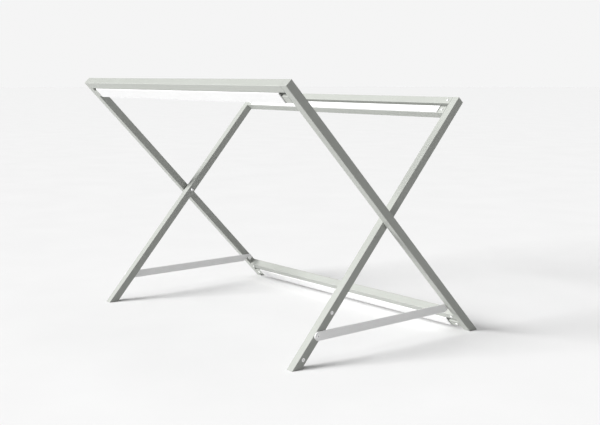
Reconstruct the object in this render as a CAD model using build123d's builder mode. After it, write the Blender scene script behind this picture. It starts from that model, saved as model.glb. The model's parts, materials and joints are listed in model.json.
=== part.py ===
from build123d import *
import os

# Folding sawhorse: two crossed steel frames that pivot on each other near mid height, held open by
# two flat tie bars near the floor.  All sizes in millimetres, +Z up.
# Frame A runs from its top rail at the front (-Y) down to its feet at the back (+Y).  Frame B runs
# from its feet at the front up to its lower top rail at the back, and stands between A's legs.
# Origin: on the floor, under the middle of the bounding box.  +X runs along the rails.

# ---- driving dimensions ----
tube = 25.0                 # side of the square tube that everything is made of
wall = 1.5                  # steel wall
corner_radius = 1.6         # outside corner radius of every tube
rail_depth = 62.0           # depth of a pair of rail tubes, measured in the frame's plane
half_length_a = 545.0       # outer face of A's legs, from the middle
side_gap = 4.0              # gap between A's legs and B's legs, where the tie bars hang
angle_a = 46.3              # lean of frame A from the floor
angle_b = 48.3              # lean of frame B from the floor
top_a = 545.5               # pivot to the top of frame A, along the leg
top_b = 454.5               # pivot to the top of frame B, along the leg
stretcher_top = -422.0      # pivot to the top edge of A's stretcher
pivot_height = 368.0        # pivot above the floor
foot_pad = 3.0              # rubber under each leg

# ---- fittings ----
fit = 0.2                   # slip fit between a plug or spigot and the tube round it
hole_play = 0.1             # radial play of a screw in its hole
bearing_play = 0.05         # radial play of a pivot
spigot_length = 40.0        # how far a spigot reaches into a rail tube
spigot_wall = 2.0
screw_inset = 12.4          # rail screws, from the leg
screw_radius = 2.5
screw_head_radius = 4.0
screw_head_height = 2.4
screw_length = 12.0
recess_length = 3.2         # cross recess in a screw's head
recess_width = 0.9
recess_depth = 1.3
plug_depth = 18.0           # shank of a foot or an end cap inside its tube
cap_thickness = 2.0
cap_chamfer = 0.5
strip_thickness = 3.0       # plastic facing strips
strip_half_a = 494.0
strip_half_stretcher = 480.0
strip_half_b = 466.0
strip_inset = 0.5           # a strip's lower edge above the rail's
strip_chamfer = 0.8

# ---- pivots and tie bars ----
pivot_radius = 3.0
bush_radius = 5.0
pivot_head_radius = 8.0
pivot_head = 3.5
spacer_play = 0.3           # free space each side of a pivot's spacer
washer_radius = 9.0         # tie bars' washers
washer_play = 0.3
pivot_washer_radius = 5.4
pivot_washer_thickness = 0.8
nut_radius = 4.6            # round cap nut on the inner face of B's leg
nut_height = 4.0
nut_rounding = 1.8
nut_seat = 0.1              # between a washer and its nut
stud_tip_gap = 1.5          # from a pivot stud's end to the top of its nut
nut_bore_gap = 1.0
bar_width = 25.0
bar_thickness = 2.4
bar_play = 0.8              # free space each side of a tie bar
tie_height = pivot_height - 286.0
tie_screw_radius = 3.5
tie_screw_head_radius = 5.9
screw_length_side = 18.0    # countersunk screws through the legs' sides
seat_play = 0.05            # under a tie bar's washer
hook_radius = 4.0
hook_flange = 3.0           # width of the flanges at both ends of a hook stud, round its shank
hook_outer_flange = 2.5
hook_inner_flange = 2.0
hook_end_play = 0.2
hook_slot_play = 0.4
hook_mouth_lean = 54.0      # lean of the hook's open side, so that the stud leaves it as B folds
insert_length = 172.0
insert_screw_spacing = 152.0
insert_screw_radius = 3.0
insert_screw_head_radius = 5.4
insert_screw_cut = 21.0     # depth of an insert screw's hole
socket_share = 0.62         # hexagon socket's radius as a share of the shank's

half = tube / 2
inner_half = half - wall
face_a = half_length_a - tube            # inner face of A's legs
half_length_b = face_a - side_gap        # outer face of B's legs
face_b = half_length_b - tube            # inner face of B's legs
SIDES = {"right": 1, "left": -1}


class Frame:
    """A tilted frame: u runs up its legs from the pivot, v out of the face that looks at the front."""

    def __init__(self, up, front, pivot):
        self.up = Vector(up)
        self.front = Vector(front)
        self.pivot = pivot
        self.foot_u = -pivot.Z / self.up.Z

    def point(self, x, u, v=0.0):
        return self.pivot + Vector(x, 0, 0) + self.up * u + self.front * v

    def across_leg(self, x, u):
        """Sketch plane square to the leg: local x is X, local -y is the front face."""
        return Plane(origin=self.point(x, u), x_dir=(1, 0, 0), z_dir=self.up)

    def across_rail(self, x, u, v=0.0, toward=1):
        """Sketch plane square to the rails, facing +X or -X: local x is v."""
        return Plane(origin=self.point(x, u, v), x_dir=self.front, z_dir=(toward, 0, 0))

    def on_face(self, x, u, v, toward=1):
        """Sketch plane in the frame's front (+1) or back (-1) face: local x is X."""
        return Plane(origin=self.point(x, u, v), x_dir=(1, 0, 0), z_dir=self.front * toward)


def direction(degrees):
    return Vector(0, 1, 0).rotate(Axis.X, degrees)


# A's top front corner and its back foot corner set the bounding box in Y; the pivot stands between.
up_a = direction(180 - angle_a)
front_a = direction(270 - angle_a)
front_reach = (up_a * top_a + front_a * half).Y
foot_u = -(pivot_height - half * front_a.Z) / up_a.Z
back_reach = (up_a * foot_u - front_a * half).Y
pivot_y = -(front_reach + back_reach) / 2
pivot_point = Vector(0, pivot_y, pivot_height)
frame_a = Frame(up_a, front_a, pivot_point)
frame_b = Frame(direction(angle_b), direction(90 + angle_b), pivot_point)

tie_u_a = (tie_height - pivot_height) / frame_a.up.Z
tie_u_b = (tie_height - pivot_height) / frame_b.up.Z
hook_point = frame_a.point(0, tie_u_a)
hinge_point = frame_b.point(0, tie_u_b)
bar_length = hook_point.Y - hinge_point.Y
bar_middle = half_length_b + side_gap / 2

os.makedirs("parts", exist_ok=True)
written = []


def write(piece, name):
    piece.label = name
    export_step(piece, f"parts/{name}.step")
    written.append(name)


def yz_plane(x, point, toward=1):
    """Sketch plane facing +X or -X through a point of the YZ plane: local x is world +Y."""
    return Plane(origin=(x, point.Y, point.Z), x_dir=(0, toward, 0), z_dir=(toward, 0, 0))


def disc(plane, radius, height):
    """Round solid standing on a plane."""
    with BuildPart() as body:
        with BuildSketch(plane):
            Circle(radius)
        extrude(amount=height)
    return body.part


def ring(plane, outer, inner, height):
    with BuildPart() as body:
        with BuildSketch(plane):
            Circle(outer)
            Circle(inner, mode=Mode.SUBTRACT)
        extrude(amount=height)
    return body.part


def leg_tube(frame, x, top_u, holes):
    """Square tube along a leg, cut level above the foot pad; holes are (plane, radius, reach)."""
    bottom_u = frame.foot_u - 2 * tube
    with BuildPart() as leg:
        with BuildSketch(frame.across_leg(x, bottom_u)):
            RectangleRounded(tube, tube, corner_radius)
            RectangleRounded(2 * inner_half, 2 * inner_half, corner_radius - wall, mode=Mode.SUBTRACT)
        extrude(amount=top_u - bottom_u)
        split(bisect_by=Plane.XY.offset(foot_pad), keep=Keep.TOP)
        for plane, radius, reach in holes:
            with BuildSketch(plane):
                Circle(radius)
            extrude(amount=reach, both=True, mode=Mode.SUBTRACT)
    return leg.part


def foot(frame, x):
    """Rubber foot: a pad under the level cut and a plug up the tube."""
    below = frame.across_leg(x, frame.foot_u - 2 * tube)
    with BuildPart() as body:
        with BuildSketch(below):
            RectangleRounded(tube, tube, corner_radius)
        extrude(amount=4 * tube)
        split(bisect_by=Plane.XY.offset(foot_pad), keep=Keep.BOTTOM)
        split(bisect_by=Plane.XY, keep=Keep.TOP)
        chamfer(body.edges().group_by(Axis.Z)[0], foot_pad / 3)
        with BuildPart(mode=Mode.PRIVATE) as shank:
            with BuildSketch(below):
                Rectangle(2 * (inner_half - fit), 2 * (inner_half - fit))
            extrude(amount=2 * tube + plug_depth)
            split(bisect_by=Plane.XY.offset(foot_pad), keep=Keep.TOP)
        add(shank.part)
    return body.part


def end_cap(frame, x, top_u):
    """Cap over the top end of a leg, flush with the tube's sides, with a plug inside."""
    with BuildPart() as body:
        with BuildSketch(frame.across_leg(x, top_u - cap_thickness)):
            RectangleRounded(tube, tube, corner_radius)
        extrude(amount=cap_thickness)
        chamfer(body.faces().sort_by(Axis(frame.pivot, frame.up))[-1].edges(), cap_chamfer)
        with BuildSketch(frame.across_leg(x, top_u - cap_thickness)):
            Rectangle(2 * (inner_half - fit), 2 * (inner_half - fit))
        extrude(amount=-plug_depth)
    return body.part


def rail_rows(top_u):
    """Centrelines of a rail's two tubes, which leave a slot between them."""
    return {"upper": top_u - half, "lower": top_u - rail_depth + half}


def rail_screw_places(frame, face_x, row_u, toward):
    """Head planes of the two screws that hold a rail tube, on its front (+1) or back (-1) face."""
    reach = face_x - screw_inset
    return [frame.on_face(x, row_u, half * toward, toward) for x in (reach, -reach)]


def rail_tube(frame, face_x, row_u, screw_planes):
    """Square tube that closes a frame between its two legs."""
    with BuildPart() as rail:
        with BuildSketch(frame.across_rail(-face_x, row_u)):
            RectangleRounded(tube, tube, corner_radius)
            RectangleRounded(2 * inner_half, 2 * inner_half, corner_radius - wall, mode=Mode.SUBTRACT)
        extrude(amount=2 * face_x)
        for plane in screw_planes:
            with BuildSketch(plane):
                Circle(screw_radius + hole_play)
            extrude(amount=-2 * wall, mode=Mode.SUBTRACT)
    return rail.part


def spigot(frame, face_x, side, row_u, screw_planes):
    """Box section welded to a leg's inner face, which a rail tube slides over and is screwed to."""
    outside = 2 * (inner_half - fit)
    inside = outside - 2 * spigot_wall
    with BuildPart() as body:
        with BuildSketch(frame.across_rail(side * face_x, row_u, toward=-side)):
            Rectangle(outside, outside)
            Rectangle(inside, inside, mode=Mode.SUBTRACT)
        extrude(amount=spigot_length)
        for plane in screw_planes:
            with BuildSketch(plane.offset(-wall)):
                Circle(screw_radius + hole_play)
            extrude(amount=-(fit + 2 * spigot_wall), mode=Mode.SUBTRACT)
    return body.part


def pan_screw(plane):
    """Pan-head screw with a cross recess, its head on a plane and its shank below."""
    with BuildPart() as body:
        with BuildSketch(plane):
            Circle(screw_head_radius)
        extrude(amount=screw_head_height)
        fillet(body.edges().sort_by(Axis(plane.origin, plane.z_dir))[-1], screw_head_height * 0.6)
        with BuildSketch(plane.offset(screw_head_height)):
            Rectangle(recess_length, recess_width)
            Rectangle(recess_width, recess_length)
        extrude(amount=-recess_depth, mode=Mode.SUBTRACT)
        with BuildSketch(plane):
            Circle(screw_radius)
        extrude(amount=-screw_length)
    return body.part


def write_rail(frame, face_x, top_u, toward, name):
    """A rail's two tubes, the spigots in their ends, and all its screws as one group."""
    screws = []
    for row, row_u in rail_rows(top_u).items():
        planes = rail_screw_places(frame, face_x, row_u, toward)
        screws += [pan_screw(plane) for plane in planes]
        write(rail_tube(frame, face_x, row_u, planes), f"{name}_{row}")
        for end, side in SIDES.items():
            write(spigot(frame, face_x, side, row_u, planes), f"spigot_{name}_{row}_{end}")
    write(Compound(children=screws), f"{name}_screws")


def flush_cone(plane, radius, depth):
    """Cone of a countersunk head, its wide end on the plane and pointing below."""
    with BuildPart() as body:
        with BuildSketch(plane):
            Circle(radius)
        extrude(amount=-depth, taper=45)
    return body.part


def countersunk_screw(plane, head_radius, shank_radius, length):
    depth = head_radius - shank_radius
    with BuildPart() as body:
        add(flush_cone(plane, head_radius, depth))
        with BuildSketch(plane.offset(-depth)):
            Circle(shank_radius)
        extrude(amount=depth - length)
        with BuildSketch(plane):
            RegularPolygon(shank_radius * socket_share, 6)
        extrude(amount=-depth, mode=Mode.SUBTRACT)
    return body.part


def facing_strip(frame, half_span, low_u, high_u):
    """Plastic strip on a rail's front face, its long edges eased."""
    middle_u = (low_u + high_u) / 2
    with BuildPart() as strip:
        with BuildSketch(frame.across_rail(-half_span, middle_u, half + strip_thickness / 2)):
            Rectangle(strip_thickness, high_u - low_u)
        extrude(amount=2 * half_span)
        outer = strip.faces().sort_by(Axis(frame.pivot, frame.front))[-1]
        chamfer(outer.edges(), strip_chamfer)
    return strip.part


# ---- frame A: legs, top rail, stretcher ----
for name, side in SIDES.items():
    x_leg = side * (half_length_a - half)
    inner_wall = side * face_a
    pivot_hole = (yz_plane(inner_wall, frame_a.pivot), pivot_radius + hole_play, 2 * wall)
    stud_hole = (yz_plane(inner_wall, hook_point), hook_radius + hole_play, 2 * wall)
    write(leg_tube(frame_a, x_leg, top_a - cap_thickness, [pivot_hole, stud_hole]), f"leg_a_{name}")
    write(foot(frame_a, x_leg), f"foot_a_{name}")
    write(end_cap(frame_a, x_leg, top_a), f"end_cap_a_{name}")

write_rail(frame_a, face_a, top_a, -1, "rail_a")
write_rail(frame_a, face_a, stretcher_top, 1, "stretcher")

# ---- frame B: legs, top rail ----
insert_shifts = (-insert_screw_spacing / 2, insert_screw_spacing / 2)
insert_screw_points = [frame_b.point(0, tie_u_b + shift) for shift in insert_shifts]
insert_head_depth = insert_screw_head_radius - insert_screw_radius


def insert_cuts(x, toward):
    """Countersinks and holes through a leg's outer wall and its insert, one for each insert screw."""
    cuts = []
    for point in insert_screw_points:
        plane = yz_plane(x, point, toward)
        mouth = insert_screw_head_radius + 2 * hole_play
        cuts.append(flush_cone(plane.offset(hole_play), mouth, insert_head_depth + hole_play))
        cuts.append(disc(plane, insert_screw_radius + hole_play, -insert_screw_cut))
    return cuts


for name, side in SIDES.items():
    x_leg = side * (half_length_b - half)
    outer_wall = side * half_length_b
    bush_hole = (yz_plane(x_leg, frame_b.pivot), bush_radius + hole_play, half + wall)
    tie_hole = (yz_plane(outer_wall, hinge_point), tie_screw_radius + hole_play, 2 * wall)
    cuts = insert_cuts(outer_wall, side)
    with BuildPart() as leg:
        add(leg_tube(frame_b, x_leg, top_b - cap_thickness, [bush_hole, tie_hole]))
        add(cuts, mode=Mode.SUBTRACT)
    write(leg.part, f"leg_b_{name}")
    with BuildPart() as insert:
        with BuildSketch(frame_b.across_leg(x_leg, tie_u_b - insert_length / 2)):
            Rectangle(2 * (inner_half - fit), 2 * (inner_half - fit))
        extrude(amount=insert_length)
        add(cuts, mode=Mode.SUBTRACT)
        with BuildSketch(yz_plane(outer_wall, hinge_point)):
            Circle(tie_screw_radius + hole_play)
        extrude(amount=tube - 2 * wall, both=True, mode=Mode.SUBTRACT)
    write(insert.part, f"leg_insert_{name}")
    heads = [yz_plane(outer_wall, point, side) for point in insert_screw_points]
    sizes = (insert_screw_head_radius, insert_screw_radius, screw_length_side)
    write(Compound(children=[countersunk_screw(p, *sizes) for p in heads]), f"insert_screws_{name}")
    write(foot(frame_b, x_leg), f"foot_b_{name}")
    write(end_cap(frame_b, x_leg, top_b), f"end_cap_b_{name}")
    bush_plane = yz_plane(outer_wall, frame_b.pivot, -side)
    write(ring(bush_plane, bush_radius, pivot_radius + bearing_play, tube), f"pivot_bush_{name}")

write_rail(frame_b, face_b, top_b, 1, "rail_b")

# ---- facing strips: over the slot and the lower tube in A, over the lower tube only in B ----
for frame, half_span, top_u, high_u, name in (
    (frame_a, strip_half_a, top_a, top_a - tube, "facing_strip_a"),
    (frame_a, strip_half_stretcher, stretcher_top, stretcher_top - tube, "facing_strip_stretcher"),
    (frame_b, strip_half_b, top_b, top_b - rail_depth + tube, "facing_strip_b"),
):
    low_u = top_u - rail_depth + strip_inset
    write(facing_strip(frame, half_span, low_u, high_u), name)

# ---- pivots: a stud from A's leg through B's bush, with a spacer, a washer and a cap nut ----
for name, side in SIDES.items():
    inner_a = side * face_a
    head_plane = yz_plane(inner_a + side * wall, frame_a.pivot, side)
    shank_plane = yz_plane(inner_a + side * wall, frame_a.pivot, -side)
    stack = washer_play + pivot_washer_thickness + nut_seat
    with BuildPart() as stud:
        add(disc(head_plane, pivot_head_radius, pivot_head))
        add(disc(shank_plane, pivot_radius, wall + side_gap + tube + stack + nut_height - stud_tip_gap))
    write(stud.part, f"pivot_stud_{name}")
    bore = pivot_radius + bearing_play
    spacer_plane = yz_plane(inner_a - side * spacer_play, frame_a.pivot, -side)
    write(ring(spacer_plane, pivot_head_radius, bore, side_gap - 2 * spacer_play), f"pivot_spacer_{name}")
    washer_plane = yz_plane(side * (face_b - washer_play), frame_a.pivot, -side)
    write(ring(washer_plane, pivot_washer_radius, bore, pivot_washer_thickness), f"pivot_washer_{name}")
    nut_plane = washer_plane.offset(pivot_washer_thickness + nut_seat)
    with BuildPart() as nut:
        add(disc(nut_plane, nut_radius, nut_height))
        fillet(nut.edges().sort_by(Axis(nut_plane.origin, nut_plane.z_dir))[-1], nut_rounding)
        add(disc(nut_plane, bore, nut_height - nut_bore_gap), mode=Mode.SUBTRACT)
    write(nut.part, f"pivot_nut_{name}")

# ---- tie bars: hinged on B's legs, hooked over studs on A's legs ----
slot_radius = hook_radius + hook_slot_play
mouth_down = Vector(0, -1).rotate(Axis.Z, -hook_mouth_lean)
mouth_start = Vector(bar_length, 0) + mouth_down.rotate(Axis.Z, -90) * slot_radius
for name, side in SIDES.items():
    near = side * (bar_middle - bar_thickness / 2)
    bar_plane = Plane(origin=(near, hinge_point.Y, hinge_point.Z), x_dir=(0, 1, 0), z_dir=(1, 0, 0))
    bar_amount = side * bar_thickness
    hinge_plane = yz_plane(side * (bar_middle + bar_thickness / 2), hinge_point, side)
    with BuildPart() as bar:
        with BuildSketch(bar_plane):
            with Locations((bar_length / 2, 0)):
                SlotCenterToCenter(bar_length, bar_width)
            with Locations((bar_length, 0)):
                Circle(slot_radius, mode=Mode.SUBTRACT)
            with BuildLine():
                Polyline(
                    (bar_length + slot_radius, 0),
                    (bar_length + slot_radius, -bar_width),
                    mouth_start + mouth_down * 2 * bar_width,
                    mouth_start,
                    close=True,
                )
            make_face(mode=Mode.SUBTRACT)
        extrude(amount=bar_amount)
        mouth = tie_screw_head_radius + 2 * hole_play
        add(flush_cone(hinge_plane, mouth, bar_thickness + hole_play), mode=Mode.SUBTRACT)
        add(disc(hinge_plane, tie_screw_radius + bearing_play, -bar_thickness), mode=Mode.SUBTRACT)
    write(bar.part, f"tie_bar_{name}")
    sizes = (tie_screw_head_radius, tie_screw_radius, screw_length_side)
    write(countersunk_screw(hinge_plane, *sizes), f"tie_bar_screw_{name}")
    washer_plane = yz_plane(side * (half_length_b + seat_play), hinge_point, side)
    washer_height = bar_play - 2 * seat_play
    washer_bore = tie_screw_radius + hole_play
    write(ring(washer_plane, washer_radius, washer_bore, washer_height), f"tie_bar_washer_{name}")
    outer_end = yz_plane(side * (face_a + wall), hook_point, side)
    shank_end = yz_plane(side * (face_a + wall), hook_point, -side)
    inner_end = yz_plane(side * (half_length_b - hook_end_play), hook_point, -side)
    with BuildPart() as stud:
        add(disc(outer_end, hook_radius + hook_flange, hook_outer_flange))
        add(disc(shank_end, hook_radius, wall + side_gap + hook_end_play))
        add(disc(inner_end, hook_radius + hook_flange, hook_inner_flange))
    write(stud.part, f"hook_stud_{name}")

print(len(written), "nodes; tie bar centres", round(bar_length, 1), "pivot y", round(pivot_y, 2))
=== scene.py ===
import json
import math

import bpy
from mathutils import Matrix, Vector

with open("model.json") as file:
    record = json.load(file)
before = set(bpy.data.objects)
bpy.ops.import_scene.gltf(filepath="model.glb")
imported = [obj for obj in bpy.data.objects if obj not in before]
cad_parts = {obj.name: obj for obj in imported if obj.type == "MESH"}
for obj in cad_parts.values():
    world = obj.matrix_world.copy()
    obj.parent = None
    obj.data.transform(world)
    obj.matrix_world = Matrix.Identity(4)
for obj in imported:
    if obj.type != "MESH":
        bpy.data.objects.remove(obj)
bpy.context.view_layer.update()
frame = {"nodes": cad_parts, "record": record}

# ---- camera, in metres, degrees and millimetres of lens ----
CAMERA_PLACE = (2.4253, -1.8725, 0.7815)
CAMERA_YAW = 50.68              # turned from +Y towards -X
CAMERA_PITCH = -8.21            # below level
CAMERA_LENS = 57.34
SENSOR_WIDTH = 36.0
CLIP_START = 0.05
CLIP_END = 200.0

# ---- light: directions of travel, strengths, apparent widths in degrees ----
KEY_TOWARD = (0.33, 0.866, -0.375)
KEY_STRENGTH = 5.4
KEY_SPREAD = 28
TOP_TOWARD = (0.0, 0.0, -1.0)
TOP_STRENGTH = 1.4
TOP_SPREAD = 60
SKY_STRENGTH = 0.14             # what the world lights the object with
BACKDROP_STRENGTH = 0.912       # what the camera sees behind the floor
WHITE = (1, 1, 1, 1)

FLOOR_RADIUS = 60.0
FLOOR_SIDES = 96
FLOOR_ROUGHNESS = 0.75

# ---- colours, linear; the paint and the caps lean slightly to green ----
PAINT = (0.352, 0.364, 0.340, 1.0)
PAINT_DARK = (0.338, 0.350, 0.326, 1.0)
CAP = (0.345, 0.356, 0.334, 1.0)
CAP_DARK = (0.325, 0.336, 0.314, 1.0)

# ---- wear ----
EDGE_DOT = 0.86                 # rounded normal dot true normal: an edge up to here,
FLAT_DOT = 0.97                 # and a flat from here on
SCUFF_SHARE = 0.12              # how far a scuff's colour covers the paint's
RUB_SHARE = 0.45
EDGE_SHARE = 0.4
SCUFF_STRETCH = (1.0, 0.35, 0.35)
BRUSH_STRETCH = (1.0, 12.0, 12.0)


# ---- node helpers ----
class Shader:
    """A material's node tree, with short calls that add and link its nodes."""

    def __init__(self, name):
        self.material = bpy.data.materials.new(name)
        self.material.use_nodes = True
        self.tree = self.material.node_tree
        self.bsdf = self.tree.nodes["Principled BSDF"]
        self.coordinates = self.add("ShaderNodeTexCoord").outputs["Object"]

    def add(self, kind, **settings):
        node = self.tree.nodes.new(kind)
        for key, value in settings.items():
            setattr(node, key, value)
        return node

    def feed(self, socket, value):
        """Link a node's output to the socket, or set the socket's own value."""
        if isinstance(value, bpy.types.NodeSocket):
            self.tree.links.new(value, socket)
        else:
            socket.default_value = value

    def stretched(self, stretch):
        if stretch is None:
            return self.coordinates
        node = self.add("ShaderNodeMapping")
        self.feed(node.inputs["Vector"], self.coordinates)
        self.feed(node.inputs["Scale"], stretch)
        return node.outputs["Vector"]

    def noise(self, scale, detail, roughness, stretch=None):
        node = self.add("ShaderNodeTexNoise")
        self.feed(node.inputs["Vector"], self.stretched(stretch))
        self.feed(node.inputs["Scale"], scale)
        self.feed(node.inputs["Detail"], detail)
        self.feed(node.inputs["Roughness"], roughness)
        return node.outputs["Fac"]

    def cells(self, scale):
        node = self.add("ShaderNodeTexVoronoi")
        self.feed(node.inputs["Vector"], self.coordinates)
        self.feed(node.inputs["Scale"], scale)
        return node.outputs["Distance"]

    def ramp(self, value, low, high, to_low=0.0, to_high=1.0):
        node = self.add("ShaderNodeMapRange", clamp=True)
        self.feed(node.inputs["Value"], value)
        self.feed(node.inputs["From Min"], low)
        self.feed(node.inputs["From Max"], high)
        self.feed(node.inputs["To Min"], to_low)
        self.feed(node.inputs["To Max"], to_high)
        return node.outputs["Result"]

    def times(self, a, b):
        node = self.add("ShaderNodeMath", operation="MULTIPLY")
        self.feed(node.inputs[0], a)
        self.feed(node.inputs[1], b)
        return node.outputs[0]

    def mix(self, factor, a, b):
        node = self.add("ShaderNodeMix", data_type="RGBA")
        colours = [socket for socket in node.inputs if socket.type == "RGBA"]
        self.feed(node.inputs["Factor"], factor)
        self.feed(colours[0], a)
        self.feed(colours[1], b)
        return [socket for socket in node.outputs if socket.type == "RGBA"][0]

    def edges(self, radius):
        """1 along edges, 0 on flats: where a rounded normal leaves the true one."""
        rounded = self.add("ShaderNodeBevel", samples=4)
        self.feed(rounded.inputs["Radius"], radius)
        flat = self.add("ShaderNodeNewGeometry")
        dot = self.add("ShaderNodeVectorMath", operation="DOT_PRODUCT")
        self.feed(dot.inputs[0], rounded.outputs["Normal"])
        self.feed(dot.inputs[1], flat.outputs["Normal"])
        return self.ramp(dot.outputs["Value"], EDGE_DOT, FLAT_DOT, 1.0, 0.0)

    def bump(self, height, strength, distance):
        node = self.add("ShaderNodeBump")
        self.feed(node.inputs["Height"], height)
        self.feed(node.inputs["Strength"], strength)
        self.feed(node.inputs["Distance"], distance)
        self.feed(self.bsdf.inputs["Normal"], node.outputs["Normal"])

    def surface(self, **sockets):
        """Set the shader's sockets, named with _ for a space, and give the material back."""
        for name, value in sockets.items():
            self.feed(self.bsdf.inputs[name.replace("_", " ")], value)
        return self.material


def tone(grey, warm=0.0):
    """A near-neutral linear colour: warm above 0 lifts red and lowers blue."""
    return (grey * (1 + warm), grey, grey * (1 - warm), 1.0)


# ---- materials: noise scales are features per metre, bump distances metres ----
def coated(name, base, dark, worn, rough):
    """Powder coat on metal: faint mottling, orange-peel bump, thin rubbed edges, light scuffs."""
    s = Shader(name)
    mottle = s.ramp(s.noise(4.0, 3.0, 0.5), 0.35, 0.65)
    scuffs = s.ramp(s.noise(26.0, 8.0, 0.72, SCUFF_STRETCH), 0.66, 0.76)
    patches = s.ramp(s.noise(45.0, 5.0, 0.6), 0.4, 0.62)
    rubbed = s.times(s.edges(0.0012), patches)
    colour = s.mix(mottle, dark, base)
    colour = s.mix(s.times(scuffs, SCUFF_SHARE), colour, worn)
    colour = s.mix(s.times(rubbed, RUB_SHARE), colour, worn)
    roughness = s.ramp(s.noise(18.0, 4.0, 0.6), 0.3, 0.7, rough - 0.05, rough + 0.06)
    s.bump(s.noise(700.0, 2.0, 0.45), 0.12, 0.0003)
    return s.surface(Base_Color=colour, Roughness=roughness)


def plated(name, base, dark, rough):
    """Zinc plate: brushed streaks, spangle and brighter edges."""
    s = Shader(name)
    streaks = s.noise(160.0, 3.0, 0.6, BRUSH_STRETCH)
    spangle = s.ramp(s.cells(420.0), 0.0, 0.8)
    colour = s.mix(spangle, dark, base)
    colour = s.mix(s.times(s.edges(0.0004), EDGE_SHARE), colour, tone(0.9))
    roughness = s.ramp(streaks, 0.3, 0.7, rough - 0.08, rough + 0.12)
    s.bump(streaks, 0.12, 0.0002)
    return s.surface(Base_Color=colour, Roughness=roughness, Metallic=0.85)


def moulded(name, base, dark, clean_edge, grain_scale, grain, rough):
    """Moulded plastic: fine spark-eroded grain and lightly polished edges."""
    s = Shader(name)
    clouds = s.ramp(s.noise(9.0, 4.0, 0.6), 0.3, 0.7)
    colour = s.mix(clouds, dark, base)
    colour = s.mix(s.times(s.edges(0.0008), EDGE_SHARE), colour, clean_edge)
    roughness = s.ramp(s.noise(30.0, 4.0, 0.6), 0.3, 0.7, rough - 0.05, rough + 0.08)
    s.bump(s.noise(grain_scale, 3.0, 0.6), grain, 0.0004)
    return s.surface(Base_Color=colour, Roughness=roughness)


def floor_paper():
    """The floor's matt surface, faintly uneven in tone."""
    s = Shader("floor_look")
    speckle = s.ramp(s.noise(3.0, 3.0, 0.5), 0.3, 0.7)
    colour = s.mix(speckle, tone(0.765), tone(0.785))
    return s.surface(Base_Color=colour, Roughness=FLOOR_ROUGHNESS)


MATERIALS = {
    "painted_steel": coated("painted_steel", PAINT, PAINT_DARK, tone(0.52), 0.46),
    "white_steel": coated("white_steel", tone(0.9), tone(0.88), tone(0.8), 0.5),
    "white_plastic": moulded("white_plastic", tone(0.66), tone(0.64), tone(0.72), 1500.0, 0.06, 0.5),
    "zinc_steel": plated("zinc_steel", tone(0.92), tone(0.82), 0.42),
    "grey_plastic": moulded("grey_plastic", CAP, CAP_DARK, tone(0.46), 1400.0, 0.1, 0.5),
    "nylon": moulded("nylon", tone(0.78, 0.03), tone(0.72, 0.03), tone(0.82, 0.02), 1200.0, 0.06, 0.45),
}

for part in frame["record"]["subparts"]:
    shown = frame["nodes"][part["node"]]
    shown.data.materials.clear()
    shown.data.materials.append(MATERIALS[part["material_slot"]])


# ---- floor, world and lights ----
def lay_floor():
    bpy.ops.mesh.primitive_circle_add(
        vertices=FLOOR_SIDES, radius=FLOOR_RADIUS, fill_type="NGON", location=(0, 0, 0)
    )
    floor = bpy.context.object
    floor.name = "floor"
    floor.data.materials.append(floor_paper())


def light_world(scene):
    """A dim white sky for light, and a bright one where the camera looks past the floor."""
    world = scene.world or bpy.data.worlds.new("world")
    scene.world = world
    world.use_nodes = True
    nodes, join = world.node_tree.nodes, world.node_tree.links.new
    sky = nodes["Background"]
    backdrop = nodes.new("ShaderNodeBackground")
    for background, strength in ((sky, SKY_STRENGTH), (backdrop, BACKDROP_STRENGTH)):
        background.inputs["Color"].default_value = WHITE
        background.inputs["Strength"].default_value = strength
    seen = nodes.new("ShaderNodeMixShader")
    rays = nodes.new("ShaderNodeLightPath")
    join(rays.outputs["Is Camera Ray"], seen.inputs["Fac"])
    join(sky.outputs["Background"], seen.inputs[1])
    join(backdrop.outputs["Background"], seen.inputs[2])
    join(seen.outputs["Shader"], nodes["World Output"].inputs["Surface"])


def soft_sun(scene, name, toward, strength, spread):
    """A distant soft light shining along a direction; spread is its apparent width in degrees."""
    light = bpy.data.lights.new(name, "SUN")
    light.energy = strength
    light.angle = math.radians(spread)
    lamp = bpy.data.objects.new(name, light)
    lamp.rotation_euler = Vector(toward).to_track_quat("-Z", "Y").to_euler()
    scene.collection.objects.link(lamp)


def place_camera(scene):
    yaw, pitch = math.radians(CAMERA_YAW), math.radians(CAMERA_PITCH)
    level = math.cos(pitch)
    ahead = Vector((-math.sin(yaw) * level, math.cos(yaw) * level, math.sin(pitch)))
    lens = bpy.data.cameras.new("camera")
    lens.sensor_width = SENSOR_WIDTH
    lens.lens = CAMERA_LENS
    lens.clip_start = CLIP_START
    lens.clip_end = CLIP_END
    camera = bpy.data.objects.new("camera", lens)
    camera.location = CAMERA_PLACE
    camera.rotation_mode = "QUATERNION"
    camera.rotation_quaternion = ahead.to_track_quat("-Z", "Y")
    scene.collection.objects.link(camera)
    scene.camera = camera


scene = bpy.context.scene
scene.view_settings.view_transform = "Standard"
lay_floor()
light_world(scene)
soft_sun(scene, "key", KEY_TOWARD, KEY_STRENGTH, KEY_SPREAD)
soft_sun(scene, "top", TOP_TOWARD, TOP_STRENGTH, TOP_SPREAD)
place_camera(scene)
